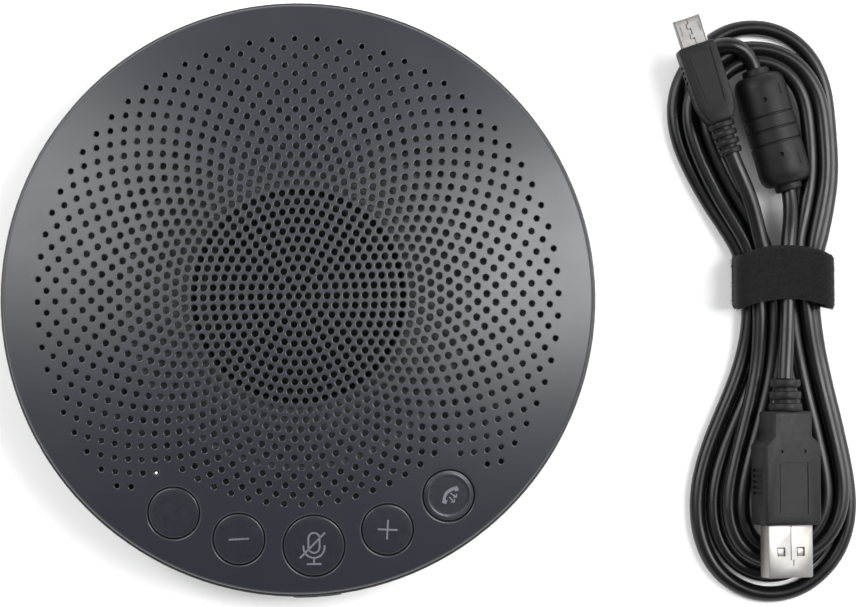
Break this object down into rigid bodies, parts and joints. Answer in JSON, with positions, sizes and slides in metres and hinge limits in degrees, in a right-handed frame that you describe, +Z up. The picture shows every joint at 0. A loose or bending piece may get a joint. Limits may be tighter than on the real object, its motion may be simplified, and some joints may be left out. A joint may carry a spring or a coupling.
{
  "type": "conference speakerphone",
  "caption": "Round desk conference speakerphone with a perforated dome, front key row, ring light and full-range speaker, and its hanked USB lead.",
  "frame": {"origin": "on the table under the middle of the round body", "axes": "+Z up, -Y towards the keys, +X to the side where the hanked lead lies"},
  "size_m": [0.2028, 0.1494, 0.033],
  "materials": {
    "cover_satin": "satin dark slate coating",
    "black_plastic": "fine-textured black moulding",
    "key_plastic": "satin dark slate, printed pictograms",
    "foot_rubber": "soft matt rubber",
    "frame_plastic": "grey moulded plastic",
    "light_guide": "milky translucent",
    "board_white": "white solder mask",
    "board_green": "green solder mask",
    "chip": "moulded epoxy",
    "tin": "tinned steel",
    "steel": "zinc-plated",
    "magnet": "sintered",
    "cone_paper": "coated black paper",
    "copper": "enamelled copper wire",
    "white_plastic": "natural nylon",
    "battery_foil": "foil pouch",
    "wire_red": "wire insulation",
    "polyimide": "amber film",
    "cable_black": "smooth black jacket",
    "plug_black": "fine-sparked black moulding",
    "plug_steel": "nickel-plated steel",
    "hook_loop": "black looped fabric"
  },
  "bodies": {
    "speakerphone": {"grille_cover": "cover_satin", "lower_housing": "black_plastic", "foot_ring": "foot_rubber", "inner_frame": "frame_plastic", "light_guide_ring": "light_guide", "led_ring_board": "board_white", "leds": "light_guide", "speaker_gasket": "foot_rubber", "speaker_basket": "chip", "speaker_surround": "foot_rubber", "speaker_cone": "cone_paper", "dust_cap": "cone_paper", "voice_coil": "copper", "top_plate": "steel", "speaker_magnet": "magnet", "magnet_yoke": "steel", "speaker_screws": "steel", "main_board": "board_green", "processor_chip": "chip", "radio_shield": "tin", "board_capacitors": "chip", "usb_receptacle": "tin", "board_connectors": "white_plastic", "board_screws": "steel", "battery_pack": "battery_foil", "battery_leads": "wire_red", "speaker_leads": "wire_red", "key_board": "board_green", "key_switches": "tin", "power_switch": "tin", "key_ribbon": "polyimide", "status_light_pipe": "light_guide", "mic_boots": "foot_rubber", "mic_capsules": "copper", "base_screws": "steel"},
    "key_aux": {"button_aux": "key_plastic", "plunger_aux": "chip"},
    "key_minus": {"button_minus": "key_plastic", "plunger_minus": "chip"},
    "key_mute": {"button_mute": "key_plastic", "plunger_mute": "chip"},
    "key_plus": {"button_plus": "key_plastic", "plunger_plus": "chip"},
    "key_call": {"button_call": "key_plastic", "plunger_call": "chip"},
    "power_key": {"power_button": "black_plastic", "power_plunger": "chip"},
    "usb_cable": {"micro_usb_shell": "plug_steel", "micro_usb_body": "plug_black", "micro_usb_relief": "plug_black", "cable_micro_lead": "cable_black", "cable_hank": "cable_black", "cable_ferrite_lead": "cable_black", "ferrite_bead": "plug_black", "cable_usb_lead": "cable_black", "usb_a_relief": "plug_black", "usb_a_body": "plug_black", "usb_a_shell": "plug_steel", "usb_a_insert": "white_plastic", "hook_loop_strap": "hook_loop"}
  },
  "joints": [
    {"name": "press_aux", "type": "slide", "parent": "speakerphone", "child": "key_aux", "axis": [0, 0, -1], "range_m": [0, 0.0005], "stiffness_N_per_m": 3000, "springref_m": -0.0002},
    {"name": "press_minus", "type": "slide", "parent": "speakerphone", "child": "key_minus", "axis": [0, 0, -1], "range_m": [0, 0.0005], "stiffness_N_per_m": 3000, "springref_m": -0.0002},
    {"name": "press_mute", "type": "slide", "parent": "speakerphone", "child": "key_mute", "axis": [0, 0, -1], "range_m": [0, 0.0005], "stiffness_N_per_m": 3000, "springref_m": -0.0002},
    {"name": "press_plus", "type": "slide", "parent": "speakerphone", "child": "key_plus", "axis": [0, 0, -1], "range_m": [0, 0.0005], "stiffness_N_per_m": 3000, "springref_m": -0.0002},
    {"name": "press_call", "type": "slide", "parent": "speakerphone", "child": "key_call", "axis": [0, 0, -1], "range_m": [0, 0.0005], "stiffness_N_per_m": 3000, "springref_m": -0.0002},
    {"name": "press_power", "type": "slide", "parent": "speakerphone", "child": "power_key", "axis": [0, 1, 0], "range_m": [0, 0.0003], "stiffness_N_per_m": 4000, "springref_m": -0.0002},
    {"name": "lift_cable", "type": "slide", "parent": "speakerphone", "child": "usb_cable", "axis": [0, 0, 1], "range_m": [0, 0.05]}
  ]
}
